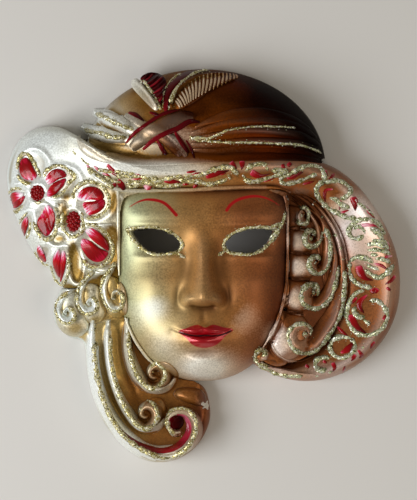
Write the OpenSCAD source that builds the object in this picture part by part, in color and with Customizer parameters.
// Wall mask in the Venetian masquerade manner: a lady's face under a swept-up hat,
// with flowers, feathers, a laced ribbon and scrolled hair. Millimetres, +Z out of the wall.
// The mask lies on its flat back rim at z = 0, with its height along +Y.

/* [Face] */
// Width of the face across the cheekbones
face_w = 84; // [80:1:86]
// Height of the forehead above the cheekbone line
forehead_h = 43.5; // [42:0.5:45]
// Drop of the chin below the cheekbone line
jaw_h = 53; // [50:1:54]
// How far the bridge of the nose stands out of the face
nose_h = 12; // [8:1:15]
// Width of each eye opening
eye_w = 25; // [21:1:27]
// Height of each eye opening
eye_h = 12; // [9:1:13]
// Distance between the centres of the eye openings
eye_pitch = 46; // [44:1:50]

/* [Hat] */
// Height of the crown above the back rim
crown_rise = 38; // [34:1:42]
// Width of the crown from side to side
crown_w = 124; // [120:1:126]
// Height of the brim over the forehead
brim_high = 35; // [33:1:37]
// Height of the brim at its low right side
brim_low = 14; // [12:1:17]
// Width of the rolled lip along the edge of the brim
lip_w = 6.5; // [5:0.5:8]
// How far the lip of the brim stands up
lip_rise = 4; // [2:0.5:6]

/* [Hat trim] */
// Height of the folds and pleats of the hat band
pleat_h = 3.2; // [2:0.2:4.5]
// Width of the laced ribbon
ribbon_w = 9; // [7:0.5:10]
// Thickness of the laced ribbon
ribbon_t = 2.4; // [1.6:0.2:3.2]
// Radius of one barb of a feather
barb_r = 0.75; // [0.5:0.05:0.85]
// Number of barbs on the large feather
barb_count = 18; // [12:1:20]

/* [Flowers] */
// Height of a petal above the brim
petal_h = 4; // [3.5:0.5:8]
// Reach of the longest petal from the middle of its flower
petal_reach = 23; // [20:0.5:24]
// Radius of the heart of a flower
heart_r = 4; // [3:0.25:4.5]
// Radius of one bead on the heart of a flower
bead_r = 1.3; // [0.9:0.1:1.6]

/* [Hair] */
// Height of the hair's bed on the right, beside the face
hair_bed = 18; // [15:1:20]
// Height of the hair's bed on the left and below
tress_bed = 9; // [7:1:11]
// Growth of each row of curls over the one above it
curl_growth = 1.22; // [1.15:0.01:1.25]
// Width of one strand of hair on the right
strand_w = 3.6; // [2.6:0.1:3.8]
// Height of a strand above its bed
strand_h = 4; // [2.5:0.5:6]
// Height of the long locks above their bed
lock_h = 8; // [5:0.5:10]
// Height of the neck above its bed
neck_h = 5; // [3:0.5:6]
// Width of the long locks
lock_w = 6.4; // [5:0.2:7]

/* [Shell] */
// Wall of the cast shells
wall = 4; // [3:0.5:5]
// Depth to which the face's edge turns down behind its neighbours
skirt = 9; // [8:0.5:12]
// Clearance where two pieces meet edge to edge or one lies on another
seat_gap = 0.15; // [0.1:0.05:0.2]
// Radius of the hanging hole
hang_r = 2.5; // [2:0.25:3.5]
// Thickness of the hanging tab
tab_t = 5; // [4:0.5:7]

/* [Hidden] */
face_y = -5;
face_n = 10;
jaw_n = 2.2;
fx = face_w / 2;
face_top = face_y + forehead_h;
chin_y = face_y - jaw_h;
crown_y = 50;
crown_b = 49.6;
crown_a = crown_w / 2;
// The hair on the right lies in an oval hollow of the brim.
mid = [fx - 2, -2];
hair_a = 32.5;
// The oval ends this far above the tip of the chin.
chin_rise = 9;
hair_drop = mid[1] - chin_y - chin_rise;
gx = fx + seat_gap;
gy = face_top + seat_gap;
hair_top = gy - mid[1];
temple = [fx + 1.5, face_top - 1.5];
rows = 5;
// Height above which the left side belongs to the brim, and below which it is hair.
left_seam = -11.5;
lobe_roll = 11;
bed_roll = 4.5;

// ---- Curves and blends -------------------------------------------------------------------

function mix(a, b, t) = a + (b - a) * t;
function clamp01(t) = min(1, max(0, t));
function smooth(t) = let (c = clamp01(t)) c * c * (3 - 2 * c);
function bump(x, y, px, py, wx, wy) = exp(-pow((x - px) / wx, 2) - pow((y - py) / wy, 2));

// A point at t on a smooth curve through an open list of points, where t counts the points.
function along(p, t) =
  let (
    n = len(p) - 1,
    i = min(floor(t), n - 1),
    f = t - i,
    a = p[max(i - 1, 0)],
    b = p[i],
    c = p[i + 1],
    d = p[min(i + 2, n)]
  )
  0.5 * (2 * b + (c - a) * f + (2 * a - 5 * b + 4 * c - d) * f * f + (3 * b - 3 * c + d - a) * f * f * f);

// The same curve as n + 1 points.
function curve(p, n) = [for (i = [0:n]) along(p, i * (len(p) - 1) / n)];

function sum_of(v) = v * [for (x = v) 1];
function centre_of(points) = [for (k = [0:len(points[0]) - 1]) sum_of([for (p = points) p[k]]) / len(points)];

// A closed smooth curve through p, as n points.
function loop(p, n) =
  let (m = len(p), q = [for (i = [-1:m + 1]) p[(i + m) % m]])
  [for (i = [0:n - 1]) along(q, 1 + i * m / n)];

// A volute about c from radius r0 to r1, starting at angle a0 and turning by sweep degrees.
function volute(c, r0, r1, a0, sweep, n) =
  [for (i = [0:n]) let (t = i / n, r = r0 * pow(r1 / r0, t)) c + r * [cos(a0 + sweep * t), sin(a0 + sweep * t)]];

// Distance from p to the segment a-b, and to the nearest segment of an open line.
function to_segment(p, a, b) =
  let (d = b - a, s = clamp01((p - a) * d / (d * d)))
  norm(p - a - d * s);
function to_line(p, line) = min([for (i = [0:len(line) - 2]) to_segment(p, line[i], line[i + 1])]);

// Share of its full height that a surface keeps at distance d from a rounded edge.
function roll_off(d, roll) = d >= roll ? 1 : sqrt(1 - pow(1 - d / roll, 2));

// Slope of a surface at p, as the rise in x and in y.
function slope_at(p, seat) =
  let (step = 0.5)
  [seat(p + [step, 0]) - seat(p - [step, 0]), seat(p + [0, step]) - seat(p - [0, step])] / (2 * step);

// ---- Solids from rows of points ----------------------------------------------------------

// A closed solid wrapped over a row of rings, with each end drawn to a point.
module skin(rings, first, last) {
  n = len(rings[0]);
  m = len(rings);
  points = concat([for (r = rings) for (p = r) p], [first, last]);
  sides = [
    for (i = [0:m - 2]) for (j = [0:n - 1])
      let (a = i * n + j, b = i * n + (j + 1) % n)
      each [[a, b, b + n], [a, b + n, a + n]]
  ];
  start = [for (j = [0:n - 1]) [m * n, (j + 1) % n, j]];
  end = [for (j = [0:n - 1]) [m * n + 1, (m - 1) * n + j, (m - 1) * n + (j + 1) % n]];
  polyhedron(points, concat(sides, start, end));
}

// A closed solid between an upper and a lower grid of points of the same size.
module slab(upper, lower) {
  m = len(upper);
  n = len(upper[0]);
  k = m * n;
  points = concat([for (r = upper) for (p = r) p], [for (r = lower) for (p = r) p]);
  sheets = [
    for (i = [0:m - 2]) for (j = [0:n - 2])
      let (a = i * n + j, b = a + 1, c = a + n, d = c + 1)
      each [[a, c, d], [a, d, b], [k + a, k + d, k + c], [k + a, k + b, k + d]]
  ];
  rims = [
    for (j = [0:n - 2]) each [
      [j, j + 1, k + j + 1], [j, k + j + 1, k + j],
      [k - n + j, 2 * k - n + j + 1, k - n + j + 1], [k - n + j, 2 * k - n + j, 2 * k - n + j + 1]
    ]
  ];
  edges = [
    for (i = [0:m - 2]) let (a = i * n, b = a + n - 1) each [
      [a, k + a + n, a + n], [a, k + a, k + a + n],
      [b, b + n, k + b + n], [b, k + b + n, k + b]
    ]
  ];
  polyhedron(points, concat(sheets, rims, edges));
}

// A ridge with a rounded back laid along a path. w and h are functions of the share of the way
// along, and seat is the height of what it lies on.
module ridge(path, w, h, seat, facets = 6) {
  m = len(path) - 1;
  rings = [
    for (i = [0:m])
      let (
        c = path[i],
        d = path[min(i + 1, m)] - path[max(i - 1, 0)],
        side = [-d[1], d[0]] / norm(d)
      )
      concat(
        [for (j = [0:facets])
          let (a = 180 * j / facets, p = c + side * w(i / m) / 2 * cos(a))
          [p[0], p[1], seat(p) + seat_gap + h(i / m) * sin(a)]],
        [[c[0], c[1], seat(c) + seat_gap]]
      )
  ];
  skin(rings, centre_of(rings[0]), centre_of(rings[m]));
}

// A rounded pad over a closed outline, domed from its edge to its middle. Its underside
// follows the seat through the given number of rings.
module pad(outline, h, seat, facets = 4, under = 1) {
  c = centre_of(outline);
  sole = [
    for (k = [1:1:under - 1])
      [for (p = outline) let (q = mix(c, p, k / under)) [q[0], q[1], seat(q) + seat_gap]]
  ];
  back = [
    for (k = [0:facets - 1])
      let (a = 90 * k / facets)
      [for (p = outline) let (q = mix(c, p, cos(a))) [q[0], q[1], seat(q) + seat_gap + h * sin(a)]]
  ];
  skin(concat(sole, back), [c[0], c[1], seat(c) + seat_gap], [c[0], c[1], seat(c) + seat_gap + h]);
}

// ---- Heights of the surfaces that carry the ornament -------------------------------------

function crown_t(p) = sqrt(pow(p[0] / crown_a, 2) + pow((p[1] - crown_y) / crown_b, 2));
// The crown is a cushion that sinks a little towards the crease behind the brim.
function crown_z(p) =
  let (t = crown_t(p), sink = 0.84 + 0.16 * smooth((p[1] - 50) / 16))
  t >= 1 ? 0 : crown_rise * sink * sqrt(1 - pow(t, 2.6));

function brim_z(p) =
  brim_low + (brim_high - brim_low) * exp(-pow((p[0] + 10) / 62, 4)) * smooth((p[1] + 25) / 60);

function right_bed(p) = hair_bed - 0.2 * (p[0] - fx);
// The left bed rises to meet the brim at the seam between them.
function left_bed(p) = mix(tress_bed, brim_z(p), smooth((p[1] - left_seam + 50) / 50));

// ---- Face --------------------------------------------------------------------------------

function face_t(x, y) =
  y > face_y
  ? pow(pow(abs(x) / fx, face_n) + pow((y - face_y) / forehead_h, face_n), 1 / face_n)
  : pow(pow(abs(x) / fx, jaw_n) + pow((face_y - y) / jaw_h, jaw_n), 1 / jaw_n);

// The face's edge in the direction a from the middle of the cheekbone line.
function face_edge(a, grow = 0) =
  let (t = face_t(cos(a), face_y + sin(a)))
  [cos(a) / t, face_y + sin(a) / t] + grow * [cos(a), sin(a)];

// Height of the face's edge, which climbs to the forehead and drops to the chin.
function face_rim(y) = 20 + 10 * smooth((y - face_y) / forehead_h) - 12 * smooth((face_y - y) / jaw_h);

function face_z(x, y) =
  let (
    t = min(1, face_t(x, y)),
    s = abs(x),
    rise = 15 - 9 * smooth((y - 5) / 35) + 13 * smooth((-y - 10) / 40),
    dome = face_rim(y) + rise * pow(1 - pow(t, 4), 0.6),
    bridge = smooth((24 - y) / 40) * smooth((y + 21.5) / 6),
    nose = nose_h * exp(-pow(s / (5 + 2 * smooth((4 - y) / 18)), 2)) * bridge,
    wings = nose_h * 0.3 * bump(s, y, 8, -16.5, 3.5, 3.8),
    socket = -4.5 * bump(s, y, eye_pitch / 2, 12, 12, 7) - 2 * bump(s, y, 10, 8, 5, 8),
    brow = 2 * bump(s, y, eye_pitch / 2 - 2, 25, 15, 5),
    cheek = 2.5 * bump(s, y, 24, -10, 10, 10),
    muzzle = 4 * bump(s, y, 0, -32, 13, 9),
    lips = 2.2 * bump(s, y, 0, -31.5, 9, 2) + 2.8 * bump(s, y, 0, -37, 7, 2.6),
    parting = -1.6 * bump(s, y, 0, -34, 12, 1.2),
    chin = 4 * bump(s, y, 0, -49, 9, 5.5) - 2 * bump(s, y, 0, -42.5, 9, 2.2)
  )
  dome + nose + wings + socket + brow + cheek + muzzle + lips + parting + chin;

// Almond outline of one eye opening, drawn from its outer corner.
eye_shape = [
  [0.5, 0.42], [0.2, 0.5], [-0.15, 0.42], [-0.42, 0.1], [-0.48, -0.3], [-0.3, -0.48], [0.05, -0.5], [0.3, -0.2]
];
module eye_opening(side) {
  outline = [for (p = loop(eye_shape, 24)) [side * (eye_pitch / 2 + p[0] * eye_w), 12.5 + p[1] * eye_h]];
  linear_extrude(height = 70) polygon(outline);
}

// Shares of the way from the middle of the cheekbone line to the edge, closest together
// where the nose and the lips are.
across = [0, 0.08, 0.16, 0.24, 0.36, 0.5, 0.66, 0.81, 0.92, 0.985, 1];
upwards = [0, 0.13, 0.26, 0.39, 0.52, 0.66, 0.8, 0.92, 0.985, 1];
downwards = [
  0, 0.09, 0.17, 0.23, 0.28, 0.34, 0.42, 0.48, 0.53, 0.58, 0.65, 0.74, 0.83,
  0.91, 0.96, 0.985, 1
];
function both_ways(low, high) =
  concat([for (i = [len(low) - 1:-1:1]) -low[i]], high);
function face_spot(u, v, reach) =
  let (a = atan2(v * (v > 0 ? forehead_h : jaw_h), u * fx), edge = face_edge(a) - [0, face_y])
  [0, face_y] + edge * reach;

module face_shell() {
  brink = 0.985;
  us = both_ways(across, across);
  vs = both_ways(downwards, upwards);
  front = [for (v = vs) [for (u = us)
    let (p = face_spot(u, v, max(abs(u), abs(v)))) [p[0], p[1], face_z(p[0], p[1])]]];
  back = [for (v = vs) [for (u = us)
    let (
      r = max(abs(u), abs(v)),
      inset = wall / norm(face_spot(u, v, 1) - [0, face_y]),
      p = face_spot(u, v, r == 1 ? 1 : r * (1 - inset) / brink),
      lip = max(0, face_rim(p[1]) - skirt)
    )
    [p[0], p[1], r >= brink ? lip : max(lip, face_z(p[0], p[1]) - wall * 1.1)]]];
  color("tan") difference() {
    slab(front, back);
    for (side = [-1, 1]) eye_opening(side);
  }
}

// ---- Hat ---------------------------------------------------------------------------------

// Edge of the brim that borders the face and the hair, from the left cheek round to the chin.
function hair_edge(a) = mid + [hair_a * cos(a), (a > 0 ? hair_top : hair_drop) * sin(a)];
// The brim's end and its small curl are set from here, at the foot of the oval, clear of the jaw.
foot_room = 13.5;
hair_foot = [face_side(chin_y + chin_rise) + foot_room, chin_y + chin_rise];
function from_foot(points) = [for (p = points) hair_foot + p];
// The neck is set from the tip of the chin, and the long locks from the chin and the left cheek.
function from_chin(points) = [for (p = points) [p[0], chin_y + p[1]]];
function from_jaw(points) = [for (p = points) [p[0] - fx, chin_y + p[1]]];
brim_inner = concat(
  [[-gx, left_seam + seat_gap], face_edge(180, seat_gap)],
  [for (a = [172, 162, 153, 146, 141, 137, 134, 131, 127, 122, 112, 98, 77, 61, 50, 45]) face_edge(a, seat_gap)],
  [for (a = [66, 44, 24, 4, -16, -34, -52, -70]) hair_edge(a)],
  from_foot([[0, -0.1], [-8, 2], [-13.5, 4.5]])
);
// Edge of the brim that shows: the left lobe, the crease under the crown, and the right sweep.
brim_outer = concat(
  [
    [-fx - 30, left_seam + seat_gap], [-fx - 35, -3], [-86, 7], [-92, 18], [-97, 31], [-99.5, 44], [-97, 57], [-90, 67],
    [-78, 71], [-67, 68], [-58, 62], [-46, 55.5], [-28, 52], [-8, 52.5], [10, 54], [28, 55], [44, 55], [57, 53],
    [68, 49], [80, 39], [91, 23], [98.2, 6], [99.9, -12], [96.3, -29]
  ],
  from_foot([[46, 5], [30, -6], [12, -9.7], [-4, -6.5], [-15.5, 0]])
);

lobe_line = curve([for (i = [0:9]) brim_outer[i]], 27);
// Height of the lobe on the left, which is rounded off along its edge.
function lobe_z(p) = brim_z(p) * roll_off(to_line(p, lobe_line), lobe_roll);

// Height over one rung of the brim: dished from its eased inner edge, then rolled over at the
// lip. The lobe on the left goes over into this profile at the crease under the crown.
function brim_rung_z(p, outer, v, lip_at, turn) =
  let (
    lift = lip_rise * turn,
    ease = 2.2 * pow(1 - clamp01(v / 0.2), 2) * turn,
    edge = crown_z(outer) * 0.97,
    top = brim_z(p) + lift,
    sweep = v < lip_at
      ? brim_z(p) + lift * pow(v / lip_at, 3) - ease
      : edge + (top - edge) * sqrt(max(0, 1 - pow((v - lip_at) / (1 - lip_at), 2)))
  )
  turn == 1 ? sweep : mix(lobe_z(p), sweep, turn);

// Rungs of the brim between two points of its outline.
brim_fineness = 2;
function lip_share(width) = max(0.35, 1 - lip_w / width);

module hat_brim() {
  steps = (len(brim_inner) - 1) * brim_fineness;
  cross = [0, 0.22, 0.46, 0.72];
  function rung(i, cut, down) =
    let (
      t = i / brim_fineness,
      a = along(brim_inner, t),
      b = along(brim_outer, t),
      width = norm(b - a),
      lip_at = lip_share(width),
      turn = smooth((t - 6) / 4),
      stops = concat([for (c = cross) c * lip_at], [for (q = [0, 35, 65, 90]) lip_at + (1 - lip_at) * sin(q)]),
      free = crown_z(b) == 0,
      inset = free && cut ? min(0.7, wall / width) : 0
    )
    [for (k = [0:len(stops) - 1])
      let (
        v = stops[k] * (1 - inset),
        p = mix(a, b, v),
        z = brim_rung_z(p, b, v, lip_at, turn),
        foot = cut && k == len(stops) - 1 && free
      )
      [p[0], p[1], foot ? 0 : max(0, z - down)]];
  color("burlywood") slab(
    [for (i = [0:steps]) rung(i, false, 0)],
    [for (i = [0:steps]) rung(i, true, wall)]
  );
}

// A point of the crease, on the straight facets of the brim's own edge.
function crease(t) =
  let (
    u = t * brim_fineness,
    low = along(brim_outer, floor(u) / brim_fineness),
    high = along(brim_outer, ceil(u) / brim_fineness)
  )
  mix(low, high, u - floor(u));

module hat_crown() {
  steps = 24;
  reach = [0, 0.25, 0.45, 0.62, 0.76, 0.87, 0.95, 0.99, 1];
  function rung(i, cut, down) =
    let (
      s = i / steps,
      a = crease(mix(10, 17, s)) + [0, seat_gap],
      angle = mix(161, 5, s),
      b = [crown_a * cos(angle), crown_y + crown_b * sin(angle)],
      inset = cut ? wall / norm(b - a) : 0
    )
    [for (k = [0:len(reach) - 1])
      let (p = mix(a, b, reach[k] * (1 - inset)), last = k == len(reach) - 1)
      [p[0], p[1], cut && last ? 0 : max(0, crown_z(p) - down)]];
  color("saddlebrown") slab(
    [for (i = [0:steps]) rung(i, false, 0)],
    [for (i = [0:steps]) rung(i, true, wall)]
  );
}

// Flat tab inside the top of the crown, with the hole that hangs the mask.
hang_y = crown_y + crown_b - wall - 9;
module hanging_tab() {
  half = 14;
  in_a = crown_a - wall - seat_gap * 2;
  in_b = crown_b - wall - seat_gap * 2;
  arc_points = [for (i = [-6:6]) let (x = half * i / 6) [x, crown_y + in_b * sqrt(1 - pow(x / in_a, 2))]];
  color("tan") difference() {
    linear_extrude(height = tab_t) polygon(concat(arc_points, [[half, hang_y - 8], [-half, hang_y - 8]]));
    translate([0, hang_y, -1]) cylinder(r = hang_r, h = tab_t + 2, $fn = 48);
  }
}

// ---- Hat band, ribbon and feathers -------------------------------------------------------

crown_seat = function(p) crown_z(p);
full = function(s) 1;

module band_piece(path, w, h) {
  ridge(curve(path, 12), function(s) w * (0.35 + 0.65 * sin(180 * clamp01(s * 0.9 + 0.05))),
    function(s) h * (0.45 + 0.55 * sin(180 * s)), crown_seat);
}
fold_w = 7;
fold_h = pleat_h * 1.3;
module band_fold_upper() {
  color("wheat") band_piece([[-55.5, 78], [-50, 76], [-44, 73], [-37, 69]], fold_w, fold_h);
}
module band_fold_lower() {
  color("wheat") band_piece([[-61.5, 71], [-55, 67.5], [-47, 65], [-39.5, 63]], fold_w, fold_h);
}
module band_pleat_upper() {
  color("sienna") band_piece([[2, 69], [14, 72.5], [30, 74], [47, 71]], 3.4, pleat_h * 0.8);
}
module band_pleat_middle() {
  color("sienna") band_piece([[-1, 63.5], [14, 66.5], [32, 67], [54, 63]], 6.4, pleat_h);
}
module band_pleat_lower() {
  color("sienna") band_piece([[-2, 58], [14, 59.5], [34, 60], [57, 56]], 4.6, pleat_h * 0.9);
}

// The ribbon that lies on top, and the one it crosses, which shows on either side of it.
over_path = [[-35, 58.5], [-26, 66], [-17, 71.5], [-7, 76]];
module ribbon(path, w, h) {
  ridge(curve(path, 10), function(s) w, function(s) h, crown_seat, 5);
}
module ribbon_over() {
  color("peru") ribbon(over_path, ribbon_w, ribbon_t * 1.5);
}
module ribbon_under_upper() {
  color("wheat") ribbon([[-37, 77], [-33.5, 74.5], [-30.5, 72]], ribbon_w * 0.55, ribbon_t);
}
module ribbon_under_lower() {
  color("wheat") ribbon([[-15.5, 63], [-12, 59.5], [-8.5, 56.5]], ribbon_w * 0.8, ribbon_t);
}

// Quill of each feather, from its root to its tip.
large_quill = [[-17, 79.5], [-14.5, 86], [-8, 92], [1, 95.8], [11, 96.6]];
small_quill = [[-23, 79.5], [-26, 84], [-30, 89], [-33.5, 92]];
quill_w = 2.2;
module quill(path) {
  ridge(curve(path, 12), function(s) quill_w * (1 - 0.5 * s), function(s) pleat_h * (1 - 0.4 * s), crown_seat, 4);
}
// A vane is a thin blade, straight across and bedded on the crown, between the quill and the
// feather's outer edge.
module vane(path, edge, h) {
  n = 10;
  a = curve(path, n);
  b = curve(edge, n);
  cells = 4;
  top = [for (i = [0:n]) [for (j = [0:cells])
    let (p = mix(a[i], b[i], j / cells)) [p[0], p[1], mix(crown_z(a[i]), crown_z(b[i]), j / cells) + seat_gap + h]]];
  bottom = [for (i = [0:n]) [for (j = [0:cells])
    let (p = mix(a[i], b[i], j / cells)) [p[0], p[1], crown_z(p) + seat_gap]]];
  slab(top, bottom);
}
large_inner = [[-14.6, 79], [-12.2, 85], [-6.6, 90.2], [1.4, 94], [10.8, 95]];
large_outer = [[-8, 78.5], [-3, 82], [4, 87.5], [10, 91.5], [17, 94]];
small_inner = [[-21.4, 80.4], [-24.4, 85], [-28.2, 90], [-31, 93]];
small_outer = [[-20.5, 82], [-19.5, 88], [-20, 94], [-24, 96]];
vane_h = 1.3;
// Barbs are round rods laid side by side across the vane.
module barbs(inner, outer, count, r) {
  for (i = [0:count - 1]) {
    s = (i + 0.5) / count * (len(inner) - 1);
    a = along(inner, s);
    b = along(outer, s);
    root = [a[0], a[1], crown_z(a)];
    tip = [b[0], b[1], crown_z(b)];
    low = mix(root, tip, 0.08);
    d = mix(root, tip, 0.92) - low;
    slope = slope_at(mix(a, b, 0.5), crown_seat);
    proud = seat_gap + vane_h + (r + seat_gap) * norm([slope[0], slope[1], 1]);
    translate(low + [0, 0, proud])
      rotate([0, acos(d[2] / norm(d)), atan2(d[1], d[0])])
        cylinder(r = r, h = norm(d), $fn = 24);
  }
}
module large_feather_vane() {
  color("peru") vane(large_inner, large_outer, vane_h);
}
module large_feather_quill() {
  color("maroon") quill(large_quill);
}
module large_feather_barbs() {
  color("rosybrown") barbs(large_inner, large_outer, barb_count, barb_r);
}
module small_feather_vane() {
  color("maroon") vane(small_inner, small_outer, vane_h);
}
module small_feather_quill() {
  color("ivory") quill(small_quill);
}
module small_feather_barbs() {
  color("maroon") barbs(small_inner, small_outer, 8, barb_r);
}

// ---- Flowers -----------------------------------------------------------------------------

lobe_seat = function(p) lobe_z(p);
upper_heart = [-83, 37];
lower_heart = [-65, 22];
// Each petal: its direction, where it starts and ends as shares of the reach, and its width.
upper_petals = [
  [114, 0.22, 0.93, 13], [30, 0.22, 0.92, 12.5], [-72, 0.25, 1.02, 9.5], [-112, 0.5, 1.1, 6.5], [196, 0.25, 0.76, 10]
];
lower_petals = [
  [52, 0.25, 0.95, 14.5], [-47, 0.25, 1.05, 15], [-88, 0.5, 1.3, 7.5], [-111, 0.5, 1.36, 7.5], [-137, 0.7, 1.22, 7]
];

// Outline of a petal, narrower at the heart and round at the tip.
function petal_outline(c, petal) =
  let (
    u = [cos(petal[0]), sin(petal[0])],
    w = [-u[1], u[0]],
    start = max(heart_r + 0.4, petal[1] * petal_reach)
  )
  [for (i = [0:15])
    let (a = 22.5 * i, s = (1 - cos(a)) / 2)
    c + u * mix(start, petal[2] * petal_reach, s) + w * petal[3] / 2 * sin(a) * (0.75 + 0.25 * s)];
module petal(c, spec) {
  pad(petal_outline(c, spec), petal_h, lobe_seat, 4, 2);
}

// Turns what follows to stand square on a surface at c.
module stand_on(c, seat) {
  slope = slope_at(c, seat);
  translate([c[0], c[1], seat(c) + seat_gap * 2])
    rotate([0, atan(norm(slope)), atan2(-slope[1], -slope[0])]) children();
}

// Heart of a flower: a low dome with a ring of beads round one bead.
module heart(c) {
  dome_r = heart_r * 1.25;
  sunk = sqrt(dome_r * dome_r - heart_r * heart_r) - 1.5;
  beads = 6;
  stand_on(c, lobe_seat) {
    intersection() {
      translate([0, 0, -sunk]) sphere(r = dome_r, $fn = 40);
      cylinder(r = heart_r, h = heart_r * 2, $fn = 40);
    }
    translate([0, 0, dome_r - sunk]) sphere(r = bead_r, $fn = 24);
    for (i = [1:beads])
      rotate([0, 0, 360 * i / beads])
        translate([heart_r * 0.6, 0, dome_r * 0.86 - sunk]) sphere(r = bead_r, $fn = 24);
  }
}

// ---- Hair on the right -------------------------------------------------------------------

right_seat = function(p) right_bed(p);
// Upper limit of row k: the rows share the run from the temple to the jaw and grow downwards.
curl_run = [face_top - 9, chin_y + 16];
function grown(k) = k == 0 ? 0 : grown(k - 1) + pow(curl_growth, k - 1);
function row_top(k) = mix(curl_run[0], curl_run[1], grown(k) / grown(rows));
curl_x = [for (d = [8, 12.5, 14.5, 13, 9]) fx + d];
curl_r = [2.6, 3.2, 3.8, 4.8, 6.2];
// Rightmost point of each strand.
bend_x = [for (d = [13.2, 17.4, 21.6, 25.8, 29]) fx + d];

// A puffed roll of hair between the face and the volute of its row.
module right_curl(k) {
  top = row_top(k) - seat_gap;
  low = row_top(k + 1) + seat_gap;
  h = top - low;
  left_top = face_side(top);
  left_low = face_side(low);
  right = curl_x[k] - 0.89 * curl_r[k] - strand_w / 2 - 1.2;
  outline = loop([
    [left_top, top - h * 0.12], [mix(left_top, right, 0.5), top], [right, top - h * 0.2],
    [right + 1, mix(low, top, 0.4)], [right - 0.5, low + h * 0.06],
    [mix(left_low, right, 0.4), low], [left_low, low + h * 0.15]
  ], 16);
  color("sienna") pad(outline, strand_h + 1.2 + k * 0.3, right_seat, 4);
}
// x of the face's right edge at a height y, with its clearance.
function face_side(y) =
  y > face_y ? gx + 0.3 : fx * pow(1 - pow((face_y - y) / jaw_h, jaw_n), 1 / jaw_n) + 0.8 + seat_gap;

// A strand that leaves the temple, bends down on a quarter of an oval and ends in a volute.
// The starts lie one above the other, so that the strands fan out side by side.
fan_pitch = 1.1;
module right_strand(k) {
  c = [curl_x[k], mix(row_top(k), row_top(k + 1), 0.5)];
  r = curl_r[k];
  start = temple + [1, -fan_pitch * (rows - k) + fan_pitch / 2];
  w_start = fan_pitch * 0.8;
  // A small volute has room for a thin strand only.
  w_most = strand_w * min(1, r / 3.4);
  w_end = w_most / 2;
  bend = [bend_x[k] - strand_w / 2, mix(c[1], 10, 0.55)];
  arc = [for (a = [0:24:72]) [mix(start[0], bend[0], sin(a)), mix(bend[1], start[1], cos(a))]];
  path = curve(concat(arc, volute(c, r * 1.5, max(r * 0.35, w_end / 2 + 0.4), -35, -400, 9)), 22);
  w = function(s) mix(w_start, w_most, smooth(s / 0.6)) * mix(1, w_end / w_most, smooth((s - 0.65) / 0.35));
  h = function(s) strand_h * mix(0.35, 1, smooth(s / 0.5)) * mix(1, 0.7, smooth((s - 0.75) / 0.25));
  color("sienna") ridge(path, w, h, right_seat, 5);
}

// The lip of the brim ends beside the chin in a small curl.
sweep_line = curve([for (i = [18:28]) brim_outer[i]], 20);
inner_line = curve([for (i = [18:28]) brim_inner[i]], 20);
sweep_seat = function(p)
  let (inner = to_line(p, inner_line), outer = to_line(p, sweep_line), width = inner + outer)
  brim_rung_z(p, [crown_a * 2, 0], inner / width, lip_share(width), 1) + seat_gap * 3;
module chin_curl() {
  entry = from_foot([[16, -5.5], [7, -5], [-2, -2.5]]);
  path = curve(concat(entry, volute(hair_foot + [-9.5, 1.2], 3.6, 1.2, -90, -300, 7)), 18);
  w = function(s) 2.4 * mix(0.5, 1, smooth(s / 0.4));
  color("sienna") ridge(path, w, function(s) 2 * mix(0.5, 1, smooth(s / 0.4)), sweep_seat, 5);
}

// The bed ends this far above the tip of the chin.
foot_rise = 11.5;
module hair_bed_right() {
  steps = 18;
  cells = 4;
  high = face_top - 0.5;
  low = chin_y + foot_rise;
  function rung(i, down) =
    let (
      s = i / steps,
      y = mix(high, low, s),
      a = [face_side(y) + 0.1, y],
      b = hair_edge(mix(84, -88, s)) - [seat_gap * 2, 0]
    )
    [for (j = [0:cells]) let (p = mix(a, b, j / cells)) [p[0], p[1], right_bed(p) - down]];
  color("saddlebrown") slab([for (i = [0:steps]) rung(i, 0)], [for (i = [0:steps]) rung(i, wall)]);
}

// ---- Hair on the left --------------------------------------------------------------------

bed_inner = concat(
  [[-gx, left_seam - seat_gap]],
  [for (a = [194, 200, 206, 212, 219, 226, 234, 241, 248, 254, 260, 265]) face_edge(a, seat_gap)]
);
bed_outer = concat(
  [[-fx - 30, left_seam - seat_gap], [-fx - 34, -21], [-fx - 32.5, -30], [-fx - 25, -36.5]],
  from_jaw([[-18, 19], [-16.5, 2], [-11, -16], [-1, -31.2], [13, -40.7]]),
  from_chin([[-14, -40.4], [-2, -32], [4, -18], [1.2, -3.5]])
);
left_line = curve(bed_outer, 30);
// Height of the left bed, rounded off along its edge; above the seam it is the brim.
function left_z(p) = p[1] > left_seam ? lobe_z(p) : left_bed(p) * roll_off(to_line(p, left_line), bed_roll);
left_seat = function(p) left_z(p);
module hair_bed_left() {
  steps = 30;
  reach = [0, 0.3, 0.6, 0.78, 0.88, 0.94, 0.98, 1];
  last = len(bed_outer) - 1;
  function rung(i, cut, down) =
    let (
      a = along(bed_inner, i * last / steps),
      b = along(bed_outer, i * last / steps),
      inset = cut ? min(0.7, wall / norm(b - a)) : 0
    )
    [for (k = [0:len(reach) - 1])
      let (
        p = mix(a, b, reach[k] * (1 - inset)),
        last_one = k == len(reach) - 1
      )
      [p[0], p[1], last_one ? 0 : max(0, (cut ? left_bed(p) : left_z(p)) - down)]];
  color("darkgoldenrod") slab(
    [for (i = [0:steps]) rung(i, false, 0)],
    [for (i = [0:steps]) rung(i, true, wall)]
  );
}

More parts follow.
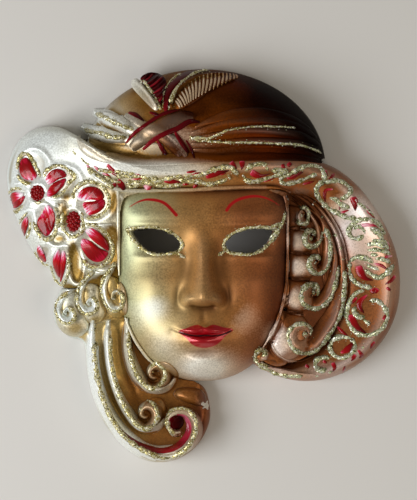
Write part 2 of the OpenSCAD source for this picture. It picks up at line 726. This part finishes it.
// A lock that falls to a volute turning the other way.
module lock(entry, c, r, w0, h0, turn = 400) {
  path = curve(concat(entry, volute(c, r, r * 0.25, 250, turn, 9)), 28);
  w = function(s) w0 * mix(0.55, 1, smooth(s / 0.3)) * mix(1, 0.35, smooth((s - 0.5) / 0.5));
  h = function(s) h0 * mix(0.5, 1, smooth(s / 0.35)) * mix(1, 0.7, smooth((s - 0.7) / 0.3));
  ridge(path, w, h, left_seat, 5);
}
module left_curl(k) {
  c = [[-fx - 3, -15], [-fx - 14.7, -18.3], [-fx - 26.4, -23.3]][k];
  color("goldenrod") lock([c + [-0.2, 11.6], c + [-3.8, 8], c + [-5.4, 2]], c, 5, 4.2, lock_h * 0.7, 420);
}
module lock_inner() {
  entry = from_jaw([[4, 29], [5, 18], [8, 8], [11.5, 1]]);
  color("goldenrod") lock(entry, [18 - fx, chin_y + 4], 8, lock_w * 0.85, lock_h * 0.85);
}
module lock_middle() {
  entry = from_jaw([[-6, 27], [-5.5, 13], [-2.5, -2], [4, -15]]);
  color("goldenrod") lock(entry, [13.5 - fx, chin_y - 16], 7.6, lock_w * 0.85, lock_h * 0.9);
}
module lock_outer() {
  entry = from_jaw([[-12, 18], [-12, 8], [-9, -6], [-2.5, -20], [8, -31], [16, -35.2]]);
  color("palegoldenrod") lock(entry, [29.5 - fx, chin_y - 22], 14, lock_w, lock_h);
}
module neck() {
  outline = loop(from_chin([
    [-13, -3.5], [-6, -3], [-0.5, -4.5], [1.8, -9], [0.8, -13], [-5, -12], [-11, -10], [-15, -7]
  ]), 18);
  color("tan") pad(outline, neck_h, left_seat, 3, 4);
}

// ---- The assembly ------------------------------------------------------------------------

face_shell();
hat_brim();
hat_crown();
hair_bed_right();
hair_bed_left();
neck();
hanging_tab();
band_fold_upper();
band_fold_lower();
band_pleat_upper();
band_pleat_middle();
band_pleat_lower();
ribbon_over();
ribbon_under_upper();
ribbon_under_lower();
small_feather_vane();
small_feather_quill();
small_feather_barbs();
large_feather_vane();
large_feather_quill();
large_feather_barbs();
for (i = [1:5]) {
  color("firebrick") petal(upper_heart, upper_petals[i - 1]);
  color("firebrick") petal(lower_heart, lower_petals[i - 1]);
}
color("darkred") heart(upper_heart);  // upper_flower_heart
color("darkred") heart(lower_heart);  // lower_flower_heart
for (i = [1:rows]) {
  right_curl(i - 1);
  right_strand(i - 1);
}
chin_curl();
for (i = [1:3]) left_curl(i - 1);
lock_inner();
lock_middle();
lock_outer();
